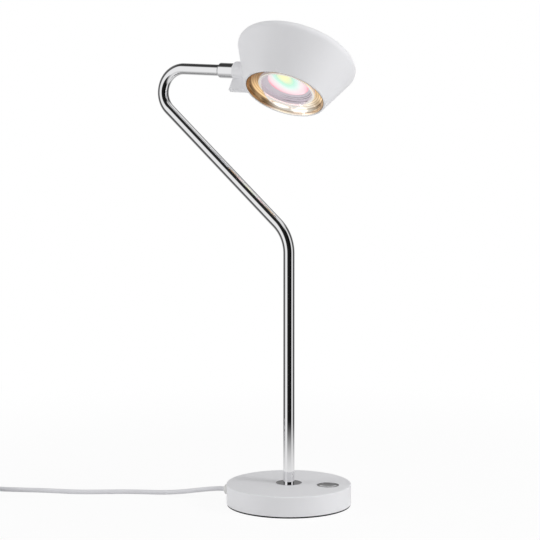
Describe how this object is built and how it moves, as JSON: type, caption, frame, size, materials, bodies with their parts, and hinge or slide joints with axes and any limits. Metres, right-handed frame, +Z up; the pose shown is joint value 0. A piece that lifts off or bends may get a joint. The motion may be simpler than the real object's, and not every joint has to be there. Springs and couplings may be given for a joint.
{
  "type": "desk lamp with swivelling head",
  "caption": "Desk lamp with a round weighted base, a push button, a bent round tube arm that turns in the base, and a tilting conical head with a lens.",
  "frame": {"origin": "on the table under the centre of the round base, on the axis that the arm turns about", "axes": "+Z up; +X from the post towards the head in the arm's plane, the tube bows out towards -X first; +Y completes the frame, and the head is stored turned with its light opening towards -Y"},
  "size_m": [0.4737, 0.249, 0.4995],
  "materials": {
    "white_paint": "smooth satin white paint",
    "black_foam": "matt non-slip foam rubber",
    "zinc_steel": "zinc-plated steel",
    "screw_steel": "plated steel screws",
    "ballast_iron": "rough cast iron",
    "chrome": "polished chrome plating",
    "bearing_plastic": "smooth bearing plastic",
    "green_board": "circuit board with solder mask",
    "copper_winding": "taped copper windings",
    "capacitor_sleeve": "shrink sleeve",
    "white_plastic": "moulded white plastic",
    "black_plastic": "moulded black plastic",
    "white_cord": "soft white cord sheath",
    "lead_sheath": "thin white lead sheath",
    "wire_sheath": "thin red wire sheath",
    "brass": "turned brass",
    "cast_aluminium": "machined aluminium",
    "light_board": "white solder mask on aluminium",
    "phosphor": "yellow phosphor under clear gel",
    "mirror_finish": "vacuum-metallised mirror",
    "filter_glass": "thin glass with an iridescent colour coating",
    "lens_glass": "clear polished glass",
    "grey_plastic": "moulded grey plastic"
  },
  "bodies": {
    "base": {"base_housing": "white_paint", "foot_pad": "black_foam", "bottom_plate": "zinc_steel", "bottom_screws": "screw_steel", "ballast": "ballast_iron", "tube_collar": "chrome", "tube_bush": "bearing_plastic", "driver_board": "green_board", "driver_windings": "copper_winding", "driver_capacitors": "capacitor_sleeve", "terminal_block": "white_plastic", "board_screws": "screw_steel", "switch_board": "green_board", "push_switch": "black_plastic", "switch_screws": "screw_steel", "button_bezel": "chrome", "button_spring": "zinc_steel", "cord_gland": "white_plastic", "cord_clamp": "white_plastic", "clamp_screws": "screw_steel", "inlet_lead": "white_cord", "output_lead": "lead_sheath", "switch_lead": "wire_sheath", "cord_lead": "white_cord", "cord_coil": "white_cord", "coil_tie": "black_plastic", "cord_tail": "white_cord", "plug_body": "white_plastic", "plug_pins": "brass"},
    "button": {"button_cap": "chrome", "button_plunger": "white_plastic", "plunger_clip": "zinc_steel", "switch_pin": "black_plastic"},
    "arm": {"arm_tube": "chrome", "tube_stud": "brass", "stud_stop_washer": "zinc_steel", "stud_spring_washer": "zinc_steel", "stud_nut": "brass", "arm_lead": "lead_sheath", "arm_sleeve": "chrome", "swivel_spindle": "brass", "slip_washer": "bearing_plastic", "spindle_stop_washer": "zinc_steel", "spindle_spring_washer": "zinc_steel", "spindle_nut": "brass"},
    "head": {"head_housing": "white_paint", "head_cover": "white_paint", "cover_screws": "screw_steel", "heat_sink": "cast_aluminium", "sink_screws": "screw_steel", "light_carrier": "light_board", "light_source": "phosphor", "inner_reflector": "mirror_finish", "colour_filter": "filter_glass", "lens": "lens_glass", "lens_ring": "chrome", "lens_holder": "grey_plastic", "holder_screws": "screw_steel", "trim_reflector": "mirror_finish", "head_lead": "lead_sheath"}
  },
  "joints": [
    {"name": "button_press", "type": "slide", "parent": "base", "child": "button", "axis": [0, 0, -1], "range_m": [0, 0.0012], "stiffness_N_per_m": 1500, "springref_m": -0.0015, "deforming": ["button_spring"]},
    {"name": "arm_swivel", "type": "hinge", "parent": "base", "child": "arm", "pos_m": [0, 0, 0], "axis": [0, 0, 1], "range_deg": [-137.5, 162.5]},
    {"name": "head_swivel", "type": "hinge", "parent": "arm", "child": "head", "pos_m": [0.003, 0, 0.44864], "axis": [0.9978, 0, -0.0663], "range_deg": [-120, 180]}
  ]
}
